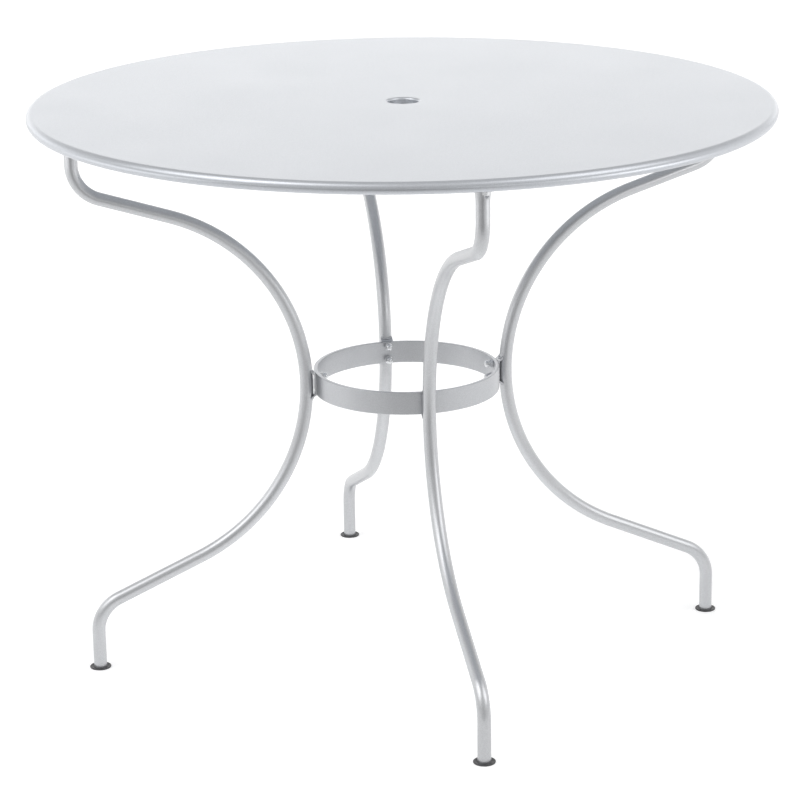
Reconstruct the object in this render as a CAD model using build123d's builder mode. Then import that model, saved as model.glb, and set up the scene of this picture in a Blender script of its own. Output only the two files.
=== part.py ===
from build123d import *
import os
from math import atan2, cos, degrees, pi, radians, sin, sqrt, tan

# Round garden table, in millimetres. The origin is on the floor under the middle of the top and +Z is up.
# Four legs stand on the X and Y axes, and each is named for the side of the table where it stands.
sides = {"front": -90, "right": 0, "back": 90, "left": 180}

# Overall sizes
top_d = 960.0
table_h = 740.0

# Pressed sheet top with a rolled rim and a drawn collar round the parasol hole
sheet_t = 1.5
rim_d = 15.0
rim_return = 6.0
hole_d = 40.0
lip_inner_r = 2.0
collar_depth = 14.0

# Hat-section rails welded under the sheet, one above each leg
rail_h = 14.0
rail_crown_w = 28.0
rail_flange_w = 12.0
rail_t = 1.5
rail_bend_r = 1.5
rail_inner_r = 70.0
rail_rim_gap = 4.5

# Plates on the upper ends of the legs
plate_t = 3.0
plate_w = 26.0
plate_washer_gap = 1.9

# M6 studs on the rails, with a washer and a nut under each plate
stud_d = 6.0
stud_head_d = 12.0
stud_head_h = 2.0
stud_end = 4.0
stud_hole_clearance = 0.6
washer_d = 12.0
washer_t = 1.6
nut_af = 10.0
nut_h = 5.0
stud_chamfer = 0.8
thread_clearance = 0.1
hex_sides = 6

# Bent tube legs
tube_d = 17.2
tube_wall = 1.5
stub_inset = 52.0
stub_len = 21.0
flare_h = 20.5
flare_out = 2.5
shoulder_bend_r = 48.0
upper_run = 92.0
waist_z = 370.0
lower_run = 120.0
ankle_bend_r = 48.0
ankle_len = 49.8
foot_r = 421.0

# Flat-bar hoop inside the waists
hoop_d = 245.0
hoop_t = 5.0
hoop_h = 30.0
hoop_edge_r = 1.0
edge_share = 0.4

# Strap brackets between the hoop and the legs
strap_t = 2.0
strap_w = 16.0
strap_bend_r = 0.8
web_edge_clearance = 0.3
flange_slope = 36.0
flange_wrap = 3.0
bracket_cavity = 1.5
weld_gap = 0.1

# M6 studs welded into the brackets, two to each, with cap nuts inside the hoop
hoop_stud_edge = 5.75
cap_dome_d = 9.5
cap_neck_h = 2.25
cap_bore_depth = 8.0
cap_bore_room = 1.0

# Plastic glides pushed into the feet
glide_d = 28.0
glide_seat_h = 1.2
glide_rim_h = 1.8
glide_rim_w = 1.6
glide_edge_r = 1.2
dish_clearance = 0.6
stem_len = 18.0
stem_chamfer = 1.2
stem_clearance = 0.1

# Worked-out places
top_r = top_d / 2
rim_r = rim_d / 2
hole_r = hole_d / 2
lip_r = sheet_t + lip_inner_r
sheet_under_z = table_h - sheet_t
rail_crown_z = sheet_under_z - rail_h
rail_outer_r = top_r - rim_r - rim_return - rail_rim_gap
plate_z = rail_crown_z - plate_t
washer_z = plate_z - washer_t
nut_z = washer_z - nut_h
stud_hole_d = stud_d + stud_hole_clearance
tube_r = tube_d / 2
bore_r = tube_r - tube_wall
stub_r = top_r - stub_inset
flare_r = stub_r + tube_r + flare_out
plate_hole_pitch = tube_d + 2 * (flare_out + plate_washer_gap) + washer_d
stud_circles = (stub_r - plate_hole_pitch / 2, stub_r + plate_hole_pitch / 2)
flare_z = plate_z - flare_h
shoulder_z = flare_z - stub_len
ankle_z = glide_seat_h + ankle_len
hoop_r = hoop_d / 2
hoop_inner_r = hoop_r - hoop_t
web_outer_r = hoop_r + strap_t
waist_r = web_outer_r + bracket_cavity + tube_r
flange_end_r = waist_r - tube_r + flange_wrap
hoop_stud_pitch = hoop_h - 2 * hoop_stud_edge
hoop_stud_places = [(0, -hoop_stud_pitch / 2), (0, hoop_stud_pitch / 2)]
hoop_stud_heights = (waist_z - hoop_stud_pitch / 2, waist_z + hoop_stud_pitch / 2)
nut_corner_r = nut_af / 2 / cos(pi / hex_sides)
cap_seat_r = sqrt(hoop_inner_r**2 - nut_corner_r**2)
cap_dome_r = cap_dome_d / 2
cap_neck_r = cap_seat_r - nut_h
hoop_stud_end_r = cap_seat_r - cap_bore_depth + cap_bore_room


def upright(angle):
    """Plane through the table's axis: local X runs outwards along the angle, local Y runs up."""
    turn = radians(angle)
    return Plane(origin=(0, 0, 0), x_dir=(cos(turn), sin(turn), 0), z_dir=(sin(turn), -cos(turn), 0))


def level(angle, height):
    """Level plane at a height, with local X outwards along the angle."""
    turn = radians(angle)
    return Plane(origin=(0, 0, height), x_dir=(cos(turn), sin(turn), 0), z_dir=(0, 0, 1))


def facing(angle, radius, height):
    """Plane square to the outward direction: local X runs round the table, local Y runs up."""
    turn = radians(angle)
    place = (radius * cos(turn), radius * sin(turn), height)
    return Plane(origin=place, x_dir=(-sin(turn), cos(turn), 0), z_dir=(cos(turn), sin(turn), 0))


def arm_bends(reach, height, run):
    """Sum of the two bend radii of an S-shaped arm, and the angle that each bend turns."""
    both_radii = (reach**2 + height**2 - run**2) / (2 * reach)
    turn = 90 + degrees(atan2(both_radii, run) - atan2(height, reach - both_radii))
    return both_radii, turn


def save(piece, name):
    """Name a finished piece and write it as its own file."""
    piece.label = name
    export_step(piece, f"parts/{name}.step")


os.makedirs("parts", exist_ok=True)

# Top: one sheet, from the foot of the collar over the lip, across and round the rim to its return
with BuildPart() as table_top:
    with BuildSketch(upright(0)):
        with BuildLine():
            collar = Line((hole_r, table_h - collar_depth), (hole_r, table_h - lip_r))
            lip = JernArc(collar @ 1, collar % 1, lip_r, -90)
            flat = Line(lip @ 1, (top_r - rim_r, table_h))
            rim = JernArc(flat @ 1, flat % 1, rim_r, -180)
            Line(rim @ 1, (top_r - rim_r - rim_return, table_h - rim_d))
            offset(amount=sheet_t, side=Side.RIGHT)
        make_face()
    revolve(axis=Axis.Z)
save(table_top.part, "table_top")

# Rails: the flanges lie against the sheet and the crown hangs below, with two stud holes over the plate
for side, angle in sides.items():
    with BuildPart() as rail:
        with BuildSketch(facing(angle, rail_inner_r, sheet_under_z)):
            with BuildLine():
                inside_w = rail_crown_w / 2 - rail_t
                flange_end = rail_crown_w / 2 + rail_flange_w
                FilletPolyline(
                    (-flange_end, 0),
                    (-inside_w, 0),
                    (-inside_w, rail_t - rail_h),
                    (inside_w, rail_t - rail_h),
                    (inside_w, 0),
                    (flange_end, 0),
                    radius=[rail_t + rail_bend_r, rail_bend_r, rail_bend_r, rail_t + rail_bend_r],
                )
                offset(amount=rail_t, side=Side.RIGHT)
            make_face()
        extrude(amount=rail_outer_r - rail_inner_r)
        with BuildSketch(level(angle, rail_crown_z)):
            with Locations(*[(radius, 0) for radius in stud_circles]):
                Circle(stud_hole_d / 2)
        extrude(amount=rail_t, mode=Mode.SUBTRACT)
    save(rail.part, f"rail_{side}")

# Studs: flat heads welded inside the rails, with their threads hanging down
with BuildPart() as rail_studs:
    for radius in stud_circles:
        with BuildSketch(Plane.XY.offset(rail_crown_z + rail_t)):
            with PolarLocations(radius, len(sides)):
                Circle(stud_head_d / 2)
        extrude(amount=stud_head_h)
        with BuildSketch(Plane.XY.offset(nut_z - stud_end)):
            with PolarLocations(radius, len(sides)):
                Circle(stud_d / 2)
        extrude(amount=rail_crown_z + rail_t - nut_z + stud_end)
    tips = rail_studs.edges().filter_by(GeomType.CIRCLE).group_by(Axis.Z)[0]
    chamfer(tips, stud_chamfer)
save(rail_studs.part, "rail_studs")

with BuildPart() as plate_washers:
    for radius in stud_circles:
        with BuildSketch(Plane.XY.offset(washer_z)):
            with PolarLocations(radius, len(sides)):
                Circle(washer_d / 2)
                Circle(stud_hole_d / 2, mode=Mode.SUBTRACT)
        extrude(amount=washer_t)
save(plate_washers.part, "plate_washers")

with BuildPart() as plate_nuts:
    for radius in stud_circles:
        with BuildSketch(Plane.XY.offset(nut_z)):
            with PolarLocations(radius, len(sides)):
                RegularPolygon(nut_af / 2, hex_sides, major_radius=False)
                Circle((stud_d + thread_clearance) / 2, mode=Mode.SUBTRACT)
        extrude(amount=nut_h)
save(plate_nuts.part, "plate_nuts")

for side, angle in sides.items():
    with BuildPart() as leg_plate:
        with BuildSketch(level(angle, plate_z)):
            with Locations((stub_r, 0)):
                SlotCenterToCenter(plate_hole_pitch, plate_w)
            with Locations(*[(radius, 0) for radius in stud_circles]):
                Circle(stud_hole_d / 2, mode=Mode.SUBTRACT)
        extrude(amount=plate_t)
    save(leg_plate.part, f"leg_plate_{side}")

# Legs: down from the shoulder, in along the upper run to the waist, out along the lower run and down
upper_radii, upper_turn = arm_bends(stub_r - waist_r, shoulder_z - waist_z, upper_run)
lower_radii, lower_turn = arm_bends(foot_r - waist_r, waist_z - ankle_z, lower_run)
for side, angle in sides.items():
    with BuildPart() as leg:
        with BuildLine(upright(angle)):
            stub = Line((stub_r, flare_z), (stub_r, shoulder_z))
            shoulder = JernArc(stub @ 1, stub % 1, shoulder_bend_r, -upper_turn)
            upper = Line(shoulder @ 1, (shoulder @ 1) + (shoulder % 1) * upper_run)
            above_waist = JernArc(upper @ 1, upper % 1, upper_radii - shoulder_bend_r, upper_turn)
            below_waist = JernArc(above_waist @ 1, above_waist % 1, lower_radii - ankle_bend_r, lower_turn)
            lower = Line(below_waist @ 1, (below_waist @ 1) + (below_waist % 1) * lower_run)
            ankle = JernArc(lower @ 1, lower % 1, ankle_bend_r, -lower_turn)
            Line(ankle @ 1, (foot_r, glide_seat_h))
        with BuildSketch(Plane(origin=stub @ 0, z_dir=stub % 0)):
            Circle(tube_r)
            Circle(bore_r, mode=Mode.SUBTRACT)
        sweep()
        with BuildSketch(upright(angle)):
            with BuildLine():
                outside = TangentArc((stub_r + tube_r, flare_z), (flare_r, plate_z), tangent=(0, 1))
                flare_bore_r = flare_r - tube_wall
                inside = TangentArc((stub_r + bore_r, flare_z), (flare_bore_r, plate_z), tangent=(0, 1))
                Line(outside @ 0, inside @ 0)
                Line(outside @ 1, inside @ 1)
            make_face()
        revolve(axis=Axis(stub @ 0, (0, 0, 1)))
    save(leg.part, f"leg_{side}")

# Hoop: a flat bar on edge, drilled for the studs
with BuildPart() as hoop:
    with BuildSketch(Plane.XY.offset(waist_z - hoop_h / 2)):
        Circle(hoop_r)
        Circle(hoop_inner_r, mode=Mode.SUBTRACT)
    extrude(amount=hoop_h)
    fillet(hoop.edges().filter_by(GeomType.CIRCLE), min(hoop_edge_r, edge_share * hoop_t))
    for angle in sides.values():
        with BuildSketch(facing(angle, 0, waist_z)):
            with Locations(*hoop_stud_places):
                Circle(stud_hole_d / 2)
        extrude(amount=hoop_d, mode=Mode.SUBTRACT)
save(hoop.part, "hoop")

# Brackets: the web stands against the hoop and the splayed flanges are cut to fit round the tube
strap_r = strap_t + strap_bend_r
web_bend_h = strap_r * tan(radians(90 - flange_slope) / 2)
web_h = hoop_stud_pitch + stud_d + 2 * (web_edge_clearance + web_bend_h)
flange_end_z = web_h / 2 + (flange_end_r - hoop_r) * tan(radians(flange_slope))
for side, angle in sides.items():
    with BuildPart() as bracket:
        with BuildSketch(upright(angle)):
            with BuildLine():
                FilletPolyline(
                    (flange_end_r, waist_z + flange_end_z),
                    (hoop_r, waist_z + web_h / 2),
                    (hoop_r, waist_z - web_h / 2),
                    (flange_end_r, waist_z - flange_end_z),
                    radius=strap_r,
                )
                offset(amount=strap_t, side=Side.LEFT)
            make_face()
        extrude(amount=strap_w / 2, both=True)
        with BuildSketch(level(angle, waist_z)):
            with Locations((waist_r, 0)):
                Circle(tube_r + weld_gap)
        extrude(amount=flange_end_z + strap_t, both=True, mode=Mode.SUBTRACT)
        with BuildSketch(facing(angle, hoop_r, waist_z)):
            with Locations(*hoop_stud_places):
                Circle((stud_d + weld_gap) / 2)
        extrude(amount=strap_t, mode=Mode.SUBTRACT)
    save(bracket.part, f"hoop_bracket_{side}")

# Hoop studs: flush with the outer face of the web, with their threads through the hoop
with BuildPart() as hoop_studs:
    for angle in sides.values():
        for stud_z in hoop_stud_heights:
            with BuildSketch(upright(angle)):
                with Locations((hoop_stud_end_r, stud_z)):
                    Polygon(
                        (0, 0),
                        (web_outer_r - hoop_stud_end_r, 0),
                        (web_outer_r - hoop_stud_end_r, stud_d / 2),
                        (stud_chamfer, stud_d / 2),
                        (0, stud_d / 2 - stud_chamfer),
                        align=None,
                    )
            revolve(axis=Axis((0, 0, stud_z), facing(angle, 0, 0).z_dir))
save(hoop_studs.part, "hoop_studs")

# Cap nuts: a hexagon against the inside of the hoop and a closed dome over the stud's end
with BuildPart() as cap_nuts:
    for angle in sides.values():
        with BuildSketch(facing(angle, cap_seat_r, waist_z)):
            with Locations(*hoop_stud_places):
                RegularPolygon(nut_af / 2, hex_sides, major_radius=False)
        extrude(amount=-nut_h)
        for stud_z in hoop_stud_heights:
            with BuildSketch(upright(angle)):
                with BuildLine():
                    neck_z = stud_z + cap_dome_r
                    neck = Line((cap_neck_r, neck_z), (cap_neck_r - cap_neck_h, neck_z))
                    dome = JernArc(neck @ 1, neck % 1, cap_dome_r, 90)
                    Polyline(dome @ 1, (cap_neck_r, stud_z), neck @ 0)
                make_face()
            revolve(axis=Axis((0, 0, stud_z), facing(angle, 0, 0).z_dir))
        with BuildSketch(facing(angle, cap_seat_r, waist_z)):
            with Locations(*hoop_stud_places):
                Circle((stud_d + thread_clearance) / 2)
        extrude(amount=-cap_bore_depth, mode=Mode.SUBTRACT)
save(cap_nuts.part, "cap_nuts")

# Glides: a dished disc under the tube's end, with a stem inside the tube
glide_r = glide_d / 2
stem_r = bore_r - stem_clearance
stem_z = glide_seat_h + stem_len
for side, angle in sides.items():
    with BuildPart() as glide:
        with BuildSketch(upright(angle)):
            with Locations((foot_r, 0)):
                Polygon(
                    (0, 0),
                    (glide_r, 0),
                    (glide_r, glide_rim_h),
                    (glide_r - glide_rim_w, glide_rim_h),
                    (tube_r + dish_clearance, glide_seat_h),
                    (stem_r, glide_seat_h),
                    (stem_r, stem_z - stem_chamfer),
                    (stem_r - stem_chamfer, stem_z),
                    (0, stem_z),
                    align=None,
                )
        turn = radians(angle)
        revolve(axis=Axis((foot_r * cos(turn), foot_r * sin(turn), 0), (0, 0, 1)))
        rim_edges = glide.edges().filter_by(GeomType.CIRCLE).sort_by(SortBy.RADIUS)[-2:]
        fillet(rim_edges, min(glide_edge_r, edge_share * glide_rim_h, 2 * edge_share * glide_rim_w))
    save(glide.part, f"glide_{side}")
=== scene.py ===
from math import atan2, ceil, cos, degrees, pi, radians, sin, sqrt, tan

import bpy
from mathutils import Matrix, Vector


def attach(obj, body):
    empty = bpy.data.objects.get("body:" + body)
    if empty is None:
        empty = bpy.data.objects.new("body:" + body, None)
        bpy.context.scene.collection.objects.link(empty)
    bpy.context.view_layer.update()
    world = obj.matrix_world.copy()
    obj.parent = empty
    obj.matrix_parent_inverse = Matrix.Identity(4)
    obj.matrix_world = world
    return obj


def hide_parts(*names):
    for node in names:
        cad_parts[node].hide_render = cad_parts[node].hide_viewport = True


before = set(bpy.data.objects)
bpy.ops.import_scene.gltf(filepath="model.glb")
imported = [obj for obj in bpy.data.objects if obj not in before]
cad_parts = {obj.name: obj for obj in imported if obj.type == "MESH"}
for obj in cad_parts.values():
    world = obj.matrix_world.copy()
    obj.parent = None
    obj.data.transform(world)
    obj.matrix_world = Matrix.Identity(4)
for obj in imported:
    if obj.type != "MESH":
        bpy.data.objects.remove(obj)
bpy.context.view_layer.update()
collection = bpy.context.scene.collection

# Sizes of the table in metres, the same as those of the solids; each side is an angle in degrees
MM = 0.001
SIDES = {"front": -90, "right": 0, "back": 90, "left": 180}

# Pressed top
TOP_R, TABLE_H = 480 * MM, 740 * MM
SHEET_T, RIM_R, RIM_RETURN = 1.5 * MM, 7.5 * MM, 6 * MM
HOLE_R, LIP_R, COLLAR_DEPTH = 20 * MM, 3.5 * MM, 14 * MM

# Leg plates under the rails, held by studs, washers and nuts on two circles
PLATE_Z, PLATE_T, RAIL_T = 721.5 * MM, 3 * MM, 1.5 * MM
STUD_CIRCLES = (409 * MM, 447 * MM)
STUD_D, STUD_HEAD_D, STUD_HEAD_H, STUD_PAST_NUT = 6 * MM, 12 * MM, 2 * MM, 4 * MM
WASHER_D, WASHER_T, WASHER_HOLE_D = 12 * MM, 1.6 * MM, 6.6 * MM
NUT_H, NUT_AF = 5 * MM, 10 * MM
WASHER_Z = PLATE_Z - WASHER_T
NUT_Z = WASHER_Z - NUT_H
STUD_TIP_Z = NUT_Z - STUD_PAST_NUT

# Legs
TUBE_R, STUB_R, FOOT_R = 8.6 * MM, 428 * MM, 421 * MM
FLARE_H, FLARE_OUT, SHOULDER_Z = 20.5 * MM, 2.5 * MM, 680 * MM
WAIST_R, WAIST_Z, ANKLE_Z, FOOT_Z = 134.6 * MM, 370 * MM, 51 * MM, 1.2 * MM
END_BEND_R, UPPER_RUN, LOWER_RUN = 48 * MM, 92 * MM, 120 * MM

# Hoop with its brackets and cap nuts, whose corners touch the inside of the hoop
HOOP_R, HOOP_T, WEB_H, FLANGE_SLOPE = 122.5 * MM, 5 * MM, 27.95 * MM, radians(36)
CAP_PITCH, CAP_DOME_R, CAP_NECK_H, CAP_BORE_DEPTH = 18.5 * MM, 4.75 * MM, 2.25 * MM, 8 * MM
CAP_SEAT_R = sqrt((HOOP_R - HOOP_T) ** 2 - NUT_AF ** 2 / 3)


# Node helpers
def link(tree, start, end):
    """Join an output socket to an input socket."""
    tree.links.new(start, end)


def add(tree, kind, **values):
    """A node with its settings and unlinked sockets filled in."""
    node = tree.nodes.new(kind)
    for key, value in values.items():
        if hasattr(node, key):
            setattr(node, key, value)
        else:
            node.inputs[key].default_value = value
    return node


def noise(tree, coords, per_metre, detail, roughness):
    """A soft uneven pattern with so many spots to the metre."""
    node = add(tree, "ShaderNodeTexNoise", Scale=per_metre, Detail=detail, Roughness=roughness)
    link(tree, coords, node.inputs["Vector"])
    return node.outputs["Fac"]


def spread(tree, value, levels, over=(0.0, 1.0)):
    """Carry a value from the range that it runs over to a range of levels."""
    node = tree.nodes.new("ShaderNodeMapRange")
    link(tree, value, node.inputs[0])
    for socket, number in zip(node.inputs[1:5], (*over, *levels)):
        socket.default_value = number
    return node.outputs[0]


def soft_step(tree, value, low, high):
    """A smooth step from 0 to 1 between two values."""
    node = add(tree, "ShaderNodeMapRange", interpolation_type="SMOOTHSTEP")
    link(tree, value, node.inputs[0])
    node.inputs[1].default_value = low
    node.inputs[2].default_value = high
    return node.outputs[0]


def sums(tree, kind, first, second=0.0):
    """One math node on sockets or numbers."""
    node = tree.nodes.new("ShaderNodeMath")
    node.operation = kind
    for socket, value in zip(node.inputs, (first, second)):
        if isinstance(value, (int, float)):
            socket.default_value = value
        else:
            link(tree, value, socket)
    return node.outputs[0]


def facing(tree, way, aim):
    """A place's distance along an aim, or how far a direction agrees with it."""
    node = add(tree, "ShaderNodeVectorMath", operation="DOT_PRODUCT")
    node.inputs[1].default_value = aim
    link(tree, way, node.inputs[0])
    return node.outputs["Value"]


def tint(tree, factor, stops):
    """A colour ramp: stops are (place, colour)."""
    node = tree.nodes.new("ShaderNodeValToRGB")
    ramp = node.color_ramp
    while len(ramp.elements) < len(stops):
        ramp.elements.new(0.5)
    for element, (place, colour) in zip(ramp.elements, stops):
        element.position = place
        element.color = (*colour, 1)
    link(tree, factor, node.inputs[0])
    return node.outputs[0]


def relief(tree, height, distance, strength, normal=None):
    """A bump node, on top of another one where given."""
    node = add(tree, "ShaderNodeBump", Distance=distance, Strength=strength)
    link(tree, height, node.inputs["Height"])
    if normal is not None:
        link(tree, normal, node.inputs["Normal"])
    return node.outputs["Normal"]


def finish_of(name):
    """A new material with its shader, and object coordinates to paint it by."""
    material = bpy.data.materials.new(name)
    material.use_nodes = True
    tree = material.node_tree
    shader = tree.nodes["Principled BSDF"]
    coords = tree.nodes.new("ShaderNodeTexCoord").outputs["Object"]
    return material, tree, shader, coords


# Powder coat: flakes to the metre, what each pattern adds to tone and gloss, and the depth of the relief
FLAKES_PER_M = 2400.0
FLAKE_TONE, DRIFT_TONE, GRAIN_TONE = (0.0, 0.42), (0.08, 0.26), (0.0, 0.24)
FLAKE_GLOSS = (-0.03, 0.03)
PEEL_DEPTH, FLAKE_DEPTH = 0.03 * MM, 0.012 * MM
SATIN, DULL_SATIN = (0.30, 0.38), (0.33, 0.42)
SHEET_GREYS = (0.424, 0.440, 0.469), (0.648, 0.670, 0.704)
TUBE_GREYS = (0.432, 0.440, 0.454), (0.660, 0.670, 0.686)
# The bars' greys are the same silver painted darker: painted shade for the hoop, brackets, plates and welds
BAR_SHADE_GREYS = (0.401, 0.409, 0.424), (0.611, 0.622, 0.644)


def powder_coat(name, greys, gloss):
    """Silver powder coat: fine metal flakes in a satin film with a faint orange-peel surface."""
    material, tree, shader, coords = finish_of(name)
    shader.inputs["Metallic"].default_value = 0.92
    shader.inputs["Coat Weight"].default_value = 0.12
    shader.inputs["Coat Roughness"].default_value = 0.22
    flakes = add(tree, "ShaderNodeTexVoronoi", Scale=FLAKES_PER_M)
    link(tree, coords, flakes.inputs["Vector"])
    each_flake = tree.nodes.new("ShaderNodeSeparateColor")
    link(tree, flakes.outputs["Color"], each_flake.inputs[0])
    flake_tone, flake_gloss, flake_tilt = each_flake.outputs
    drift = noise(tree, coords, per_metre=9.0, detail=4.0, roughness=0.6)
    grain = noise(tree, coords, per_metre=900.0, detail=3.0, roughness=0.6)
    peel = noise(tree, coords, per_metre=330.0, detail=2.0, roughness=0.5)
    tone = sums(tree, "ADD", spread(tree, flake_tone, FLAKE_TONE), spread(tree, drift, DRIFT_TONE))
    tone = sums(tree, "ADD", tone, spread(tree, grain, GRAIN_TONE))
    dark, light = greys
    middle = tuple((a + b) / 2 for a, b in zip(dark, light))
    stops = [(0.12, dark), (0.5, middle), (0.9, light)]
    link(tree, tint(tree, tone, stops), shader.inputs["Base Color"])
    rough = sums(tree, "ADD", spread(tree, drift, gloss), spread(tree, flake_gloss, FLAKE_GLOSS))
    link(tree, rough, shader.inputs["Roughness"])
    skin = relief(tree, peel, distance=PEEL_DEPTH, strength=0.35)
    skin = relief(tree, flake_tilt, distance=FLAKE_DEPTH, strength=0.3, normal=skin)
    link(tree, skin, shader.inputs["Normal"])
    return material


def bright_zinc(name):
    """Zinc plating on turned and pressed steel: clear, a little cloudy, with fine turning marks."""
    material, tree, shader, coords = finish_of(name)
    shader.inputs["Metallic"].default_value = 1.0
    cloud = noise(tree, coords, per_metre=420.0, detail=4.0, roughness=0.6)
    marks = noise(tree, coords, per_metre=2600.0, detail=2.0, roughness=0.7)
    stops = [(0.3, (0.56, 0.57, 0.59)), (0.7, (0.78, 0.79, 0.80))]
    link(tree, tint(tree, cloud, stops), shader.inputs["Base Color"])
    rough = spread(tree, sums(tree, "ADD", cloud, marks), (0.16, 0.38), over=(0.6, 1.4))
    link(tree, rough, shader.inputs["Roughness"])
    link(tree, relief(tree, marks, distance=0.02 * MM, strength=0.3), shader.inputs["Normal"])
    return material


def glide_plastic(name):
    """Dark grey moulded plastic with an eroded-mould grain and paler scuffs low on the rim."""
    material, tree, shader, coords = finish_of(name)
    grain = noise(tree, coords, per_metre=1500.0, detail=3.0, roughness=0.6)
    cloud = noise(tree, coords, per_metre=160.0, detail=4.0, roughness=0.6)
    rubs = noise(tree, coords, per_metre=700.0, detail=3.0, roughness=0.7)
    place = tree.nodes.new("ShaderNodeSeparateXYZ")
    link(tree, coords, place.inputs[0])
    low = spread(tree, place.outputs["Z"], (1.0, 0.0), over=(0.2 * MM, 1.8 * MM))
    scuff = sums(tree, "MULTIPLY", low, spread(tree, rubs, (0.0, 0.4), over=(0.5, 0.7)))
    tone = sums(tree, "ADD", spread(tree, cloud, (0.1, 0.5)), scuff)
    stops = [(0.1, (0.030, 0.030, 0.032)), (0.5, (0.060, 0.060, 0.064)), (0.9, (0.15, 0.15, 0.155))]
    link(tree, tint(tree, tone, stops), shader.inputs["Base Color"])
    link(tree, spread(tree, grain, (0.34, 0.56)), shader.inputs["Roughness"])
    link(tree, relief(tree, grain, distance=0.03 * MM, strength=0.35), shader.inputs["Normal"])
    return material


sheet_coat = powder_coat("sheet_powder_coat", SHEET_GREYS, SATIN)
tube_coat = powder_coat("tube_powder_coat", TUBE_GREYS, SATIN)
# The bars' coat: the silver painted darker, which is painted shade
bar_shade_coat = powder_coat("bar_powder_coat_painted_shade", BAR_SHADE_GREYS, DULL_SATIN)
zinc = bright_zinc("bright_zinc")
plastic = glide_plastic("glide_plastic")
COAT_SLOT, ZINC_SLOT = "silver_powder_coat", "zinc_plated_steel"

# Edges that turn by more than these angles stay sharp
SHEET_SHARP, TUBE_SHARP, FASTENER_SHARP = radians(35), radians(50), radians(28)


# Mesh helpers
def piece_from(name, verts, faces, sharp=SHEET_SHARP):
    """A smooth-shaded mesh object at the origin, with its sharp edges kept."""
    mesh = bpy.data.meshes.new(name)
    mesh.from_pydata(verts, [], faces)
    mesh.validate()
    mesh.shade_smooth()
    mesh.set_sharp_from_angle(angle=sharp)
    obj = bpy.data.objects.new(name, mesh)
    collection.objects.link(obj)
    return obj


def closed_turning(name, outline, segments):
    """A turned ring whose outline of (radius, height) is a closed loop, so that it has no ends."""
    verts, faces = [], []
    count = len(outline)
    # The first points stand half a step round, which keeps the ring inside the box of the solids
    for step in range(segments):
        angle = 2 * pi * (step + 0.5) / segments
        verts += [(radius * cos(angle), radius * sin(angle), height) for radius, height in outline]
    for step in range(segments):
        here, after = step * count, (step + 1) % segments * count
        for place in range(count):
            following = (place + 1) % count
            faces.append((here + place, here + following, after + following, after + place))
    return piece_from(name, verts, faces)


def line_mesh(name, paths):
    """Open polylines as a mesh of edges only."""
    verts, edges = [], []
    for path in paths:
        edges += [(len(verts) + i, len(verts) + i + 1) for i in range(len(path) - 1)]
        verts += path
    mesh = bpy.data.meshes.new(name)
    mesh.from_pydata(verts, edges, [])
    return mesh


def arc(centre, radius, start, end, steps):
    """Points on an arc, angles in degrees, both ends included."""
    points = []
    for step in range(steps + 1):
        angle = radians(start + (end - start) * step / steps)
        points.append((centre[0] + radius * cos(angle), centre[1] + radius * sin(angle)))
    return points


def outward(angle, radius, across, height):
    """A place at a distance outwards along a side's angle, and across it."""
    turn = radians(angle)
    return (radius * cos(turn) - across * sin(turn), radius * sin(turn) + across * cos(turn), height)


def coated(obj, material, slot, *nodes):
    """Give a piece its finish, let it ride with the table and stand for the nodes that it replaces."""
    obj.data.materials.clear()
    obj.data.materials.append(material)
    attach(obj, "root")
    if nodes:
        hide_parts(*nodes)


# Geometry node helpers
def new_tree(name, inputs):
    """A geometry node tree with a mesh in, a mesh out and named inputs."""
    tree = bpy.data.node_groups.new(name, "GeometryNodeTree")
    tree.interface.new_socket("Geometry", in_out="INPUT", socket_type="NodeSocketGeometry")
    for label, kind in inputs.items():
        tree.interface.new_socket(label, in_out="INPUT", socket_type=f"NodeSocket{kind}")
    tree.interface.new_socket("Geometry", in_out="OUTPUT", socket_type="NodeSocketGeometry")
    given = tree.nodes.new("NodeGroupInput").outputs
    out = tree.nodes.new("NodeGroupOutput").inputs
    return tree, given, out


def close_tree(tree, geometry, material, out):
    """Every tree ends the same way: smooth faces, real geometry, one material."""
    smooth = tree.nodes.new("GeometryNodeSetShadeSmooth")
    real = tree.nodes.new("GeometryNodeRealizeInstances")
    coat = tree.nodes.new("GeometryNodeSetMaterial")
    link(tree, geometry, smooth.inputs[0])
    link(tree, smooth.outputs[0], real.inputs[0])
    link(tree, real.outputs[0], coat.inputs["Geometry"])
    link(tree, material, coat.inputs["Material"])
    link(tree, coat.outputs[0], out["Geometry"])


def chance(tree, seed, low, high):
    """A number by chance for each point, between two values."""
    node = add(tree, "FunctionNodeRandomValue", data_type="FLOAT")
    node.inputs[2].default_value = low
    node.inputs[3].default_value = high
    link(tree, seed, node.inputs["Seed"])
    return node.outputs[1]


def grown(name, seed_mesh, tree, values):
    """Run a tree on a mesh and keep the result as a plain mesh at the origin."""
    obj = bpy.data.objects.new(name, seed_mesh)
    collection.objects.link(obj)
    modifier = obj.modifiers.new("grow", "NODES")
    modifier.node_group = tree
    for item in tree.interface.items_tree:
        if item.in_out == "INPUT" and item.name in values:
            modifier[item.identifier] = values[item.name]
    ready = obj.evaluated_get(bpy.context.evaluated_depsgraph_get())
    mesh = bpy.data.meshes.new_from_object(ready)
    obj.modifiers.remove(modifier)
    obj.data = mesh
    return obj


# The pressed top: rows of points on the flat, and steps round lip and rim in the outer and inner skin
FLAT_ROWS, EDGE_ROW, TOP_SEGMENTS = 16, 0.2 * MM, 320
LIP_STEPS, RIM_STEPS = (14, 8), (36, 24)


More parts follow.
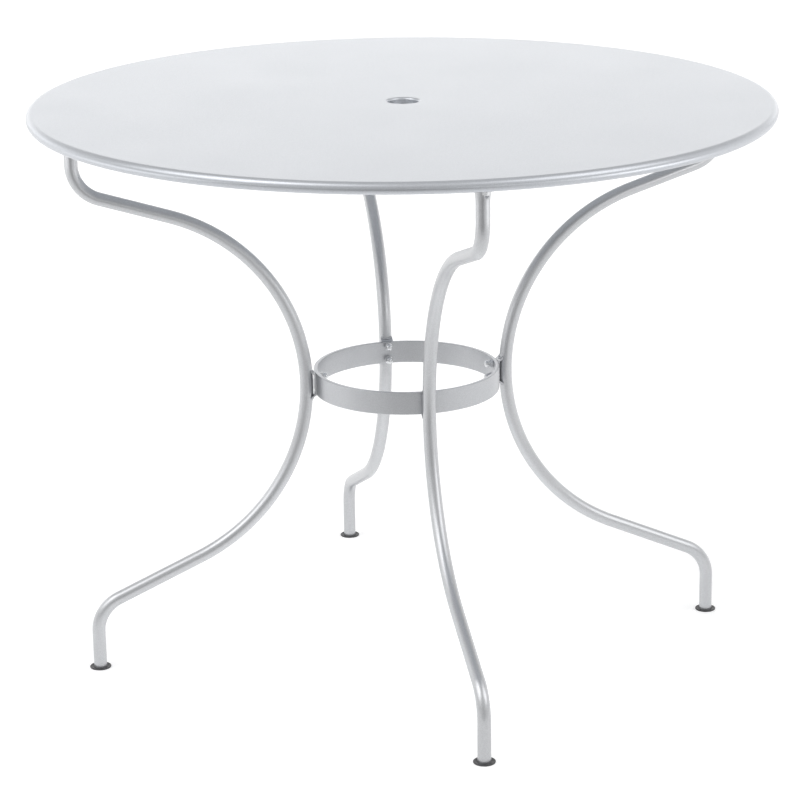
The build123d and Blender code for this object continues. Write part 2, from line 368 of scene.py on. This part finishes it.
def top_outline():
    """The outer skin from the collar's foot over lip, flat and rim, then the inner skin back."""
    flat_from, flat_to = HOLE_R + LIP_R, TOP_R - RIM_R
    rim_centre, lip_centre = (flat_to, TABLE_H - RIM_R), (flat_from, TABLE_H - LIP_R)
    collar_z, return_z = TABLE_H - COLLAR_DEPTH, TABLE_H - 2 * RIM_R
    return_r = flat_to - RIM_RETURN
    rows = [flat_from + (flat_to - flat_from) * row / FLAT_ROWS for row in range(1, FLAT_ROWS)]
    rows = [flat_from + EDGE_ROW, *rows, flat_to - EDGE_ROW]
    points = [(HOLE_R, collar_z)]
    points += arc(lip_centre, LIP_R, 180, 90, LIP_STEPS[0])
    points += [(radius, TABLE_H) for radius in rows]
    points += arc(rim_centre, RIM_R, 90, -90, RIM_STEPS[0])
    points += [(return_r, return_z), (return_r, return_z + SHEET_T)]
    points += arc(rim_centre, RIM_R - SHEET_T, -90, 90, RIM_STEPS[1])
    points += [(radius, TABLE_H - SHEET_T) for radius in reversed(rows)]
    points += arc(lip_centre, LIP_R - SHEET_T, 90, 180, LIP_STEPS[1])
    points += [(HOLE_R + SHEET_T, collar_z)]
    return points


pressed_top = closed_turning("pressed_top", top_outline(), TOP_SEGMENTS)
coated(pressed_top, sheet_coat, COAT_SLOT, "table_top")

# Legs: sides of the round tube, and degrees between the points of a bend
TUBE_SIDES, BEND_STEP = 48, 1.5


def tube_tree():
    """A round tube along a polyline, flared like a trumpet at its first end."""
    tree, given, out = new_tree("bent_tube", {
        "Tube radius": "Float", "Flare out": "Float", "Flare length": "Float", "Sides": "Int",
        "Coat": "Material",
    })
    path = tree.nodes.new("GeometryNodeMeshToCurve")
    link(tree, given["Geometry"], path.inputs["Mesh"])
    ring = tree.nodes.new("GeometryNodeCurvePrimitiveCircle")
    link(tree, given["Sides"], ring.inputs["Resolution"])
    link(tree, given["Tube radius"], ring.inputs["Radius"])
    along = tree.nodes.new("GeometryNodeSplineParameter").outputs["Length"]
    left = sums(tree, "SUBTRACT", given["Flare length"], along)
    share = sums(tree, "MAXIMUM", sums(tree, "DIVIDE", left, given["Flare length"]), 0.0)
    squared = sums(tree, "POWER", share, 2.0)
    growth = sums(tree, "DIVIDE", given["Flare out"], given["Tube radius"])
    skin = tree.nodes.new("GeometryNodeCurveToMesh")
    skin.inputs["Fill Caps"].default_value = True
    link(tree, path.outputs[0], skin.inputs["Curve"])
    link(tree, ring.outputs["Curve"], skin.inputs["Profile Curve"])
    link(tree, sums(tree, "ADD", sums(tree, "MULTIPLY", squared, growth), 1.0), skin.inputs["Scale"])
    close_tree(tree, skin.outputs[0], given["Coat"], out)
    return tree


def arm_bends(reach, height, straight):
    """Sum of an arm's two bend radii, and the angle that each turns."""
    both = (reach ** 2 + height ** 2 - straight ** 2) / (2 * reach)
    turn = 90 + degrees(atan2(both, straight) - atan2(height, reach - both))
    return both, turn


def leg_path():
    """The leg's centre line as (radius, height): runs and tangent arcs from the plate to the glide."""
    points = [(STUB_R, PLATE_Z)]
    heading = -90.0

    def run(length, steps):
        """Go straight ahead."""
        radius, height = points[-1]
        for step in range(1, steps + 1):
            way = length * step / steps
            points.append((radius + way * cos(radians(heading)), height + way * sin(radians(heading))))

    def bend(radius, turn):
        """Go round an arc, to the left where the turn is positive."""
        nonlocal heading
        side = 90 if turn > 0 else -90
        centre = (
            points[-1][0] + radius * cos(radians(heading + side)),
            points[-1][1] + radius * sin(radians(heading + side)),
        )
        steps = ceil(abs(turn) / BEND_STEP)
        points.extend(arc(centre, radius, heading - side, heading - side + turn, steps)[1:])
        heading += turn

    upper_radii, upper_turn = arm_bends(STUB_R - WAIST_R, SHOULDER_Z - WAIST_Z, UPPER_RUN)
    lower_radii, lower_turn = arm_bends(FOOT_R - WAIST_R, WAIST_Z - ANKLE_Z, LOWER_RUN)
    run(FLARE_H, steps=12)
    run(PLATE_Z - FLARE_H - SHOULDER_Z, steps=3)
    bend(END_BEND_R, -upper_turn)
    run(UPPER_RUN, steps=10)
    bend(upper_radii - END_BEND_R, upper_turn)
    bend(lower_radii - END_BEND_R, lower_turn)
    run(LOWER_RUN, steps=12)
    bend(END_BEND_R, -lower_turn)
    run(ANKLE_Z - FOOT_Z, steps=6)
    return points


bent_tube = tube_tree()
centre_line = leg_path()
for side, angle in SIDES.items():
    leg_line = [outward(angle, radius, 0, height) for radius, height in centre_line]
    leg = grown(f"leg_tube_{side}", line_mesh(f"leg_line_{side}", [leg_line]), bent_tube, {
        "Tube radius": TUBE_R, "Flare out": FLARE_OUT, "Flare length": FLARE_H, "Sides": TUBE_SIDES,
        "Coat": tube_coat,
    })
    leg.data.set_sharp_from_angle(angle=TUBE_SHARP)
    coated(leg, tube_coat, COAT_SLOT, f"leg_{side}")

# Welds: how far the beads stand from the metal, the steps on their paths, the degrees that a bracket's bead
# goes round the tube each way, and the drops
PLATE_BEAD_DOWN, BRACKET_BEAD_OFF, BRACKET_BEAD_UP = 0.4 * MM, 0.1 * MM, 0.3 * MM
PLATE_BEAD_STEPS, BRACKET_BEAD_STEPS, BRACKET_BEAD_TURN = 48, 16, 46
DROP_SEGMENTS, DROP_RINGS, DROP_SIZES = 14, 9, (0.78, 1.12)


def weld_tree():
    """A weld bead: overlapping drops along a path, uneven in size."""
    tree, given, out = new_tree("weld_bead", {
        "Drop radius": "Float", "Drop spacing": "Float", "Seed": "Int", "Coat": "Material",
    })
    path = tree.nodes.new("GeometryNodeMeshToCurve")
    link(tree, given["Geometry"], path.inputs["Mesh"])
    steps = add(tree, "GeometryNodeCurveToPoints", mode="LENGTH")
    link(tree, path.outputs[0], steps.inputs["Curve"])
    link(tree, given["Drop spacing"], steps.inputs["Length"])
    drop = add(tree, "GeometryNodeMeshUVSphere", Segments=DROP_SEGMENTS, Rings=DROP_RINGS)
    link(tree, given["Drop radius"], drop.inputs["Radius"])
    laid = tree.nodes.new("GeometryNodeInstanceOnPoints")
    link(tree, steps.outputs["Points"], laid.inputs["Points"])
    link(tree, drop.outputs["Mesh"], laid.inputs["Instance"])
    link(tree, steps.outputs["Rotation"], laid.inputs["Rotation"])
    link(tree, chance(tree, given["Seed"], *DROP_SIZES), laid.inputs["Scale"])
    close_tree(tree, laid.outputs[0], given["Coat"], out)
    return tree


def plate_bead(angle):
    """The path round a leg's flared end, under its plate."""
    centre = outward(angle, STUB_R, 0, PLATE_Z)
    ring = arc(centre, TUBE_R + FLARE_OUT, 0, 360, PLATE_BEAD_STEPS)
    return [(x, y, PLATE_Z - PLATE_BEAD_DOWN) for x, y in ring]


def bracket_bead(angle, up):
    """The path where a bracket's upper or lower flange meets the tube."""
    path = []
    for step in range(BRACKET_BEAD_STEPS + 1):
        turn = radians(BRACKET_BEAD_TURN * (2 * step / BRACKET_BEAD_STEPS - 1))
        radius = WAIST_R - (TUBE_R + BRACKET_BEAD_OFF) * cos(turn)
        rise = WEB_H / 2 + (radius - HOOP_R) * tan(FLANGE_SLOPE) + BRACKET_BEAD_UP
        path.append(outward(angle, radius, TUBE_R * sin(turn), WAIST_Z + up * rise))
    return path


weld_bead = weld_tree()


def weld(name, paths, drop_radius, drop_spacing, seed):
    """Lay a bead on each path, and coat it as the bars are, in their darker coat of painted shade."""
    beads = grown(name, line_mesh(f"{name}_lines", paths), weld_bead, {
        "Drop radius": drop_radius, "Drop spacing": drop_spacing, "Seed": seed, "Coat": bar_shade_coat,
    })
    coated(beads, bar_shade_coat, COAT_SLOT)


plate_paths = [plate_bead(angle) for angle in SIDES.values()]
bracket_paths = [bracket_bead(angle, up) for angle in SIDES.values() for up in (1, -1)]
weld("plate_welds", plate_paths, drop_radius=1.2 * MM, drop_spacing=1.5 * MM, seed=3)
weld("bracket_welds", bracket_paths, drop_radius=1.5 * MM, drop_spacing=1.6 * MM, seed=8)

# Fasteners: a nut's round face, the cone that cuts its corners and its bore; the groove under a cap nut's
# dome; a stud's thread, with rows of points to each turn, and its narrowed tip
NUT_FACE_R, NUT_CONE, BORE_R = 0.475 * NUT_AF, radians(30), STUD_D / 2
NUT_SINK, CAP_SINK, WASHER_BEVEL, HEAD_BEVEL = 0.5 * MM, 0.4 * MM, 0.25 * MM, 0.3 * MM
NUT_SEGMENTS, WASHER_SEGMENTS, STUD_SEGMENTS, DOME_STEPS = 48, 40, 28, 12
GROOVE_H, GROOVE_DEPTH, GROOVE_FOOT = 0.5 * MM, 0.25 * MM, 0.15 * MM
THREAD_PITCH, THREAD_DEPTH, THREAD_ROWS = 1.0 * MM, 0.45 * MM, 8
TIP_H, TIP_SHARE = 0.8 * MM, 0.72


def hex_reach(angle):
    """Distance from a nut's axis to its hexagon's edge in a direction."""
    part = (angle + pi / 6) % (pi / 3) - pi / 6
    return NUT_AF / 2 / cos(part)


def round_ring(radius, height):
    """A circle at a height."""
    return lambda angle: (radius, height)


def hex_ring(height, way):
    """A hexagon at a height, its corners cut back up (1) or down (-1) by the cone."""

    def ring(angle):
        reach = hex_reach(angle)
        return (reach, height + way * (reach - NUT_FACE_R) * tan(NUT_CONE))

    return ring


def thread_ring(height):
    """The stud's thread at a height above its lower end, which narrows and runs out."""
    full = min(1.0, height / TIP_H)
    crest_r = STUD_D / 2 * (TIP_SHARE + (1 - TIP_SHARE) * full)

    def ring(angle):
        phase = (height / THREAD_PITCH - angle / (2 * pi)) % 1.0
        groove = abs(2 * phase - 1)
        return (crest_r - THREAD_DEPTH * groove * full, height)

    return ring


def ringed(name, rings, segments, closed):
    """A skin through rings, each a function of the angle that gives (radius, height)."""
    verts, faces = [], []
    for ring in rings:
        for step in range(segments):
            angle = 2 * pi * step / segments
            radius, height = ring(angle)
            verts.append((radius * cos(angle), radius * sin(angle), height))
    last = len(rings) - 1
    pairs = list(zip(range(last), range(1, last + 1)))
    if closed:
        pairs.append((last, 0))
    for low, high in pairs:
        low, high = low * segments, high * segments
        for step in range(segments):
            after = (step + 1) % segments
            faces.append((low + step, low + after, high + after, high + step))
    if not closed:
        faces.append(tuple(reversed(range(segments))))
        faces.append(tuple(last * segments + step for step in range(segments)))
    return piece_from(name, verts, faces, FASTENER_SHARP)


def nut_shape():
    """A hexagon nut with its corners cut back by a cone at both faces."""
    return ringed("nut_shape", [
        round_ring(BORE_R, NUT_SINK),
        round_ring(BORE_R + NUT_SINK, 0),
        round_ring(NUT_FACE_R, 0),
        hex_ring(0, 1),
        hex_ring(NUT_H, -1),
        round_ring(NUT_FACE_R, NUT_H),
        round_ring(BORE_R + NUT_SINK, NUT_H),
        round_ring(BORE_R, NUT_H - NUT_SINK),
    ], NUT_SEGMENTS, closed=True)


def washer_shape():
    """A flat washer with its edges broken."""
    inner, outer, bevel = WASHER_HOLE_D / 2, WASHER_D / 2, WASHER_BEVEL
    return closed_turning("washer_shape", [
        (inner, bevel), (inner + bevel, 0),
        (outer - bevel, 0), (outer, bevel),
        (outer, WASHER_T - bevel), (outer - bevel, WASHER_T),
        (inner + bevel, WASHER_T), (inner, WASHER_T - bevel),
    ], WASHER_SEGMENTS)


def stud_shape():
    """A stud hanging from its flat head, with a rolled thread; its seat is the thread's lower end."""
    length = PLATE_Z + PLATE_T + RAIL_T - STUD_TIP_Z
    rows = int(length / THREAD_PITCH * THREAD_ROWS)
    head_r, head_top = STUD_HEAD_D / 2, length + STUD_HEAD_H
    rings = [thread_ring(length * row / rows) for row in range(rows + 1)]
    rings += [
        round_ring(head_r - HEAD_BEVEL, length),
        round_ring(head_r, length + HEAD_BEVEL),
        round_ring(head_r, head_top - HEAD_BEVEL),
        round_ring(head_r - HEAD_BEVEL, head_top),
    ]
    return ringed("stud_shape", rings, STUD_SEGMENTS, closed=False)


def cap_nut_shape():
    """A cap nut along -Z from its seat at the origin: closed dome, neck, hexagon and blind bore."""
    dome_z = -NUT_H - CAP_NECK_H
    rings = []
    for step in range(1, DOME_STEPS + 1):
        bend = radians(90 * step / DOME_STEPS)
        rings.append(round_ring(CAP_DOME_R * sin(bend), dome_z - CAP_DOME_R * cos(bend)))
    rings += [
        round_ring(CAP_DOME_R, -NUT_H - GROOVE_H),
        round_ring(CAP_DOME_R - GROOVE_DEPTH, -NUT_H - GROOVE_H / 2),
        round_ring(CAP_DOME_R - GROOVE_FOOT, -NUT_H),
        hex_ring(-NUT_H, 1),
        hex_ring(0, -1),
        round_ring(NUT_FACE_R, 0),
        round_ring(BORE_R + CAP_SINK, 0),
        round_ring(BORE_R, -CAP_SINK),
        round_ring(BORE_R, -CAP_BORE_DEPTH),
    ]
    return ringed("cap_nut_shape", rings, NUT_SEGMENTS, closed=False)


def fastener_tree():
    """One fastener on every seat, upright or pointing out from the table's axis, each turned by chance."""
    tree, given, out = new_tree("fasteners_on_seats", {
        "Fastener": "Object", "Point outwards": "Bool", "Seed": "Int", "Coat": "Material",
    })
    shape = tree.nodes.new("GeometryNodeObjectInfo")
    link(tree, given["Fastener"], shape.inputs["Object"])
    place = tree.nodes.new("GeometryNodeInputPosition").outputs[0]
    level = add(tree, "ShaderNodeVectorMath", operation="MULTIPLY")
    level.inputs[1].default_value = (1, 1, 0)
    link(tree, place, level.inputs[0])
    pick = add(tree, "GeometryNodeSwitch", input_type="VECTOR")
    pick.inputs["False"].default_value = (0, 0, 1)
    link(tree, given["Point outwards"], pick.inputs["Switch"])
    link(tree, level.outputs[0], pick.inputs["True"])
    aim = add(tree, "FunctionNodeAlignRotationToVector", axis="Z")
    link(tree, pick.outputs[0], aim.inputs["Vector"])
    spin = tree.nodes.new("ShaderNodeCombineXYZ")
    link(tree, chance(tree, given["Seed"], 0.0, 2 * pi), spin.inputs["Z"])
    set_down = tree.nodes.new("GeometryNodeInstanceOnPoints")
    link(tree, given["Geometry"], set_down.inputs["Points"])
    link(tree, shape.outputs["Geometry"], set_down.inputs["Instance"])
    link(tree, aim.outputs[0], set_down.inputs["Rotation"])
    turned = tree.nodes.new("GeometryNodeRotateInstances")
    link(tree, set_down.outputs[0], turned.inputs["Instances"])
    link(tree, spin.outputs[0], turned.inputs["Rotation"])
    close_tree(tree, turned.outputs[0], given["Coat"], out)
    return tree


def round_plates(height):
    """The seats at the leg plates, at a height."""
    return [outward(angle, radius, 0, height) for radius in STUD_CIRCLES for angle in SIDES.values()]


def inside_hoop():
    """The seats of the cap nuts, two to each bracket."""
    heights = (WAIST_Z - CAP_PITCH / 2, WAIST_Z + CAP_PITCH / 2)
    return [outward(angle, CAP_SEAT_R, 0, height) for angle in SIDES.values() for height in heights]


on_seats = fastener_tree()


def fasten(name, shape, seats, seed, node, outwards=False):
    """Set a fastener on each seat, and take its pattern away."""
    seat_mesh = line_mesh(f"{name}_seats", [[seat] for seat in seats])
    obj = grown(name, seat_mesh, on_seats, {
        "Fastener": shape, "Point outwards": outwards, "Seed": seed, "Coat": zinc,
    })
    pattern = shape.data
    bpy.data.objects.remove(shape)
    bpy.data.meshes.remove(pattern)
    coated(obj, zinc, ZINC_SLOT, node)


fasten("threaded_studs", stud_shape(), round_plates(STUD_TIP_Z), seed=5, node="rail_studs")
fasten("chamfered_nuts", nut_shape(), round_plates(NUT_Z), seed=11, node="plate_nuts")
fasten("flat_washers", washer_shape(), round_plates(WASHER_Z), seed=2, node="plate_washers")
fasten("domed_cap_nuts", cap_nut_shape(), inside_hoop(), seed=7, node="cap_nuts", outwards=True)

# Nodes that keep their own shape
# The brackets and leg plates, and below them the hoop, take the bars' darker coat of painted shade
SIDE_FINISHES = {"rail": sheet_coat, "leg_plate": bar_shade_coat, "hoop_bracket": bar_shade_coat, "glide": plastic}
for side in SIDES:
    for piece, finish in SIDE_FINISHES.items():
        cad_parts[f"{piece}_{side}"].data.materials[0] = finish
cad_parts["hoop"].data.materials[0] = bar_shade_coat
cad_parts["hoop_studs"].data.materials[0] = zinc

# Floor: its half width, and its painted glow, strongest under the table where it lifts the table's shadow,
# which fades between two distances from the middle
FLOOR_HALF = 40.0
FLOOR_GLOW, FLOOR_GLOW_R = (0.62, 0.42), (0.10, 0.45)


def studio_floor():
    """Plain pale studio paper with a painted glow, stronger under the table to lift the shadow that the
    table casts.
    """
    material, tree, shader, coords = finish_of("studio_paper")
    shader.inputs["Roughness"].default_value = 0.9
    shader.inputs["Emission Color"].default_value = (1, 1, 1, 1)
    middle = add(tree, "ShaderNodeVectorMath", operation="LENGTH")
    link(tree, coords, middle.inputs[0])
    glow = spread(tree, middle.outputs["Value"], FLOOR_GLOW, over=FLOOR_GLOW_R)
    link(tree, glow, shader.inputs["Emission Strength"])
    fibre = noise(tree, coords, per_metre=60.0, detail=3.0, roughness=0.6)
    stops = [(0.3, (0.68, 0.68, 0.68)), (0.7, (0.70, 0.70, 0.70))]
    link(tree, tint(tree, fibre, stops), shader.inputs["Base Color"])
    corners = [(x * FLOOR_HALF, y * FLOOR_HALF, 0) for x, y in ((-1, -1), (1, -1), (1, 1), (-1, 1))]
    floor = piece_from("floor", corners, [(0, 1, 2, 3)])
    floor.data.materials.append(material)


studio_floor()

# Camera: the photograph's view in metres, radians and pixels, its line of sight turned from the front leg
VIEW_TURN = radians(-12.138)
CAMERA_BACK, CAMERA_H = 3.563, 1.436
FOCAL_PX, FRAME_PX, SENSOR_MM = 2811.0, 800.0, 36.0
YAW, PITCH, ROLL = 0.01971, 0.29928, 0.00782
AXIS_PX = 460.0


def photograph_camera():
    """A camera where the photograph was taken from, with the same lens and framing."""
    camera = bpy.data.cameras.new("camera")
    camera.sensor_width = SENSOR_MM
    camera.lens = FOCAL_PX / FRAME_PX * SENSOR_MM
    camera.shift_x = (FRAME_PX / 2 - AXIS_PX) / FRAME_PX
    ahead = Vector((sin(YAW) * cos(PITCH), cos(YAW) * cos(PITCH), -sin(PITCH)))
    right = Vector((cos(YAW), -sin(YAW), 0))
    down = ahead.cross(right)
    tilted_right = cos(ROLL) * right + sin(ROLL) * down
    tilted_down = cos(ROLL) * down - sin(ROLL) * right
    axes = Matrix((tilted_right, -tilted_down, -ahead)).transposed().to_4x4()
    stand = Matrix.Translation((0, -CAMERA_BACK, CAMERA_H)) @ axes
    obj = bpy.data.objects.new("camera", camera)
    obj.matrix_world = Matrix.Rotation(VIEW_TURN, 4, "Z") @ stand
    collection.objects.link(obj)
    bpy.context.scene.camera = obj


photograph_camera()


def direction(turn, rise):
    """A unit direction: degrees to the right of the camera as seen from the table, and degrees up."""
    heading = VIEW_TURN + radians(turn)
    return (sin(heading) * cos(radians(rise)), -cos(heading) * cos(radians(rise)), sin(radians(rise)))


# Surroundings: levels of light, aims in degrees from the camera, and soft edges as cosines of angles;
# each soft box is a turn with its gain
ROOM_LEVEL, FRONT_DIM, FRONT_EDGE = 0.70, 0.20, (0.84, 0.99)
SWEEP_GAIN, SWEEP_HEAD, SWEEP_EDGE = 0.36, (0.52, 0.30), (0.35, -0.6)
BOXES = {-70: 1.5, 70: 1.3}
BOX_FOOT, BOX_HEAD, BOX_SIDE, BOX_NEAR = (0.28, 0.54), (0.94, 0.81), (0.46, 0.18), (0.0, 0.25)
BANK_AIM, BANK_EDGE, BANK_GAIN = (-46, 54), (0.92, 0.985), 0.7


def studio_world():
    """White surroundings: a low sweep behind the table, a tall box at each side, a bank at the left."""
    world = bpy.data.worlds.new("studio")
    bpy.context.scene.world = world
    world.use_nodes = True
    tree = world.node_tree
    tree.nodes.clear()
    way = tree.nodes.new("ShaderNodeTexCoord").outputs["Generated"]
    rise = facing(tree, way, (0, 0, 1))
    front = facing(tree, way, direction(0, 0))
    sweep = sums(tree, "MULTIPLY", soft_step(tree, front, *SWEEP_EDGE), soft_step(tree, rise, *SWEEP_HEAD))
    level = sums(tree, "ADD", sums(tree, "MULTIPLY", sweep, SWEEP_GAIN), ROOM_LEVEL)
    dim = sums(tree, "MULTIPLY", soft_step(tree, front, *FRONT_EDGE), FRONT_DIM)
    level = sums(tree, "SUBTRACT", level, dim)
    tall = sums(tree, "MULTIPLY", soft_step(tree, rise, *BOX_FOOT), soft_step(tree, rise, *BOX_HEAD))
    for turn, gain in BOXES.items():
        across = sums(tree, "ABSOLUTE", facing(tree, way, direction(turn + 90, 0)))
        near = soft_step(tree, facing(tree, way, direction(turn, 0)), *BOX_NEAR)
        wide = sums(tree, "MULTIPLY", near, soft_step(tree, across, *BOX_SIDE))
        box = sums(tree, "MULTIPLY", wide, tall)
        level = sums(tree, "ADD", level, sums(tree, "MULTIPLY", box, gain))
    bank = soft_step(tree, facing(tree, way, direction(*BANK_AIM)), *BANK_EDGE)
    level = sums(tree, "ADD", level, sums(tree, "MULTIPLY", bank, BANK_GAIN))
    surroundings = add(tree, "ShaderNodeBackground", Color=(1, 1, 1, 1))
    link(tree, level, surroundings.inputs["Strength"])
    plain = add(tree, "ShaderNodeBackground", Color=(1, 1, 1, 1), Strength=1.0)
    seen = tree.nodes.new("ShaderNodeLightPath").outputs["Is Camera Ray"]
    mix = tree.nodes.new("ShaderNodeMixShader")
    link(tree, seen, mix.inputs[0])
    link(tree, surroundings.outputs[0], mix.inputs[1])
    link(tree, plain.outputs[0], mix.inputs[2])
    out = tree.nodes.new("ShaderNodeOutputWorld")
    link(tree, mix.outputs[0], out.inputs["Surface"])


studio_world()

# Light behind the table, shining level
BACK_TURN, BACK_AWAY, BACK_H = -166, 4.0, 1.3
BACK_SIZE, BACK_POWER = (9.0, 1.3), 21


def back_sweep():
    """A long soft light behind the table that the camera does not see."""
    light = bpy.data.lights.new("back_sweep", "AREA")
    light.shape = "RECTANGLE"
    light.size, light.size_y = BACK_SIZE
    light.energy = BACK_POWER
    away = Vector(direction(BACK_TURN, 0)) * BACK_AWAY
    obj = bpy.data.objects.new("back_sweep", light)
    obj.location = (away.x, away.y, BACK_H)
    obj.rotation_euler = (-away).to_track_quat("-Z", "Y").to_euler()
    obj.visible_camera = False
    collection.objects.link(obj)


back_sweep()


# Cards that only reflections show
def card_paint(name):
    """A new material with no shader yet, and object coordinates to paint it by."""
    material = bpy.data.materials.new(name)
    material.use_nodes = True
    tree = material.node_tree
    tree.nodes.clear()
    return material, tree, tree.nodes.new("ShaderNodeTexCoord").outputs["Object"]


def set_card(name, corners, faces, material, surface):
    """Finish a card's material and make the card, which only reflections show."""
    tree = material.node_tree
    link(tree, surface, tree.nodes.new("ShaderNodeOutputMaterial").inputs["Surface"])
    obj = piece_from(name, corners, faces)
    obj.data.materials.append(material)
    obj.visible_camera = obj.visible_diffuse = obj.visible_shadow = False


# Front card: its size and level, and patches that start and are full at two distances ahead and aside
SHADE_HALF, SHADE_NEAR, SHADE_FAR, SHADE_LIFT, SHADE_EDGE = 4.0, 0.35, 8.0, 1 * MM, 0.98
SHADES = (
    {"ahead": (0.6, 1.7), "middle": 0.0, "aside": (1.6, 0.3), "depth": 0.54},
    {"ahead": (1.3, 2.3), "middle": -0.8, "aside": (2.4, 1.0), "depth": 0.22},
    {"ahead": (0.5, 1.3), "middle": -2.2, "aside": (1.2, 0.5), "depth": 0.50},
)


def front_shade():
    """A card with grey patches on the floor in front of the table."""
    material, tree, place = card_paint("front_shade")
    aim, side = Vector(direction(0, 0)), Vector(direction(90, 0))
    ahead, aside = facing(tree, place, aim), facing(tree, place, side)
    level = SHADE_EDGE
    for shade in SHADES:
        off = sums(tree, "ABSOLUTE", sums(tree, "SUBTRACT", aside, shade["middle"]))
        deep = soft_step(tree, ahead, *shade["ahead"])
        patch = sums(tree, "MULTIPLY", deep, soft_step(tree, off, *shade["aside"]))
        level = sums(tree, "SUBTRACT", level, sums(tree, "MULTIPLY", patch, shade["depth"]))
    glow = add(tree, "ShaderNodeEmission", Color=(1, 1, 1, 1))
    link(tree, level, glow.inputs["Strength"])
    lift = Vector((0, 0, SHADE_LIFT))
    corners = []
    for across, along in ((-1, SHADE_NEAR), (-1, SHADE_FAR), (1, SHADE_FAR), (1, SHADE_NEAR)):
        corners.append(aim * along + side * across * SHADE_HALF + lift)
    set_card("front_shade", corners, [(0, 1, 2, 3)], material, glow.outputs[0])


front_shade()

# Side cards: their distance, the steps round them, and the heights where they fade in and out
GLOW_R, GLOW_STEPS = 1.05, 24
GLOW_FOOT, GLOW_HEAD = (0.38, 0.56), (0.715, 0.66)


def side_glow(name, middle, half, full, strength):
    """A curved bright card beside the legs, below the top: full up to one angle, gone at the half angle."""
    material, tree, place = card_paint(name)
    height = facing(tree, place, (0, 0, 1))
    along = sums(tree, "DIVIDE", facing(tree, place, direction(middle, 0)), GLOW_R)
    foot, head = soft_step(tree, height, *GLOW_FOOT), soft_step(tree, height, *GLOW_HEAD)
    upright = sums(tree, "MULTIPLY", foot, head)
    sideways = soft_step(tree, along, cos(radians(half)), cos(radians(full)))
    shine = add(tree, "ShaderNodeEmission", Color=(1, 1, 1, 1), Strength=strength)
    mix = tree.nodes.new("ShaderNodeMixShader")
    link(tree, sums(tree, "MULTIPLY", upright, sideways), mix.inputs[0])
    link(tree, tree.nodes.new("ShaderNodeBsdfTransparent").outputs[0], mix.inputs[1])
    link(tree, shine.outputs[0], mix.inputs[2])
    corners, faces = [], []
    for step in range(GLOW_STEPS + 1):
        stand = Vector(direction(middle + half * (2 * step / GLOW_STEPS - 1), 0)) * GLOW_R
        corners += [stand, stand + Vector((0, 0, GLOW_HEAD[0]))]
        if step:
            faces.append((2 * step - 2, 2 * step, 2 * step + 1, 2 * step - 1))
    set_card(name, corners, faces, material, mix.outputs[0])


side_glow("left_glow", middle=-70, half=30, full=16, strength=1.65)
side_glow("right_glow", middle=59, half=19, full=8, strength=2.5)
bpy.context.scene.view_settings.view_transform = "Standard"
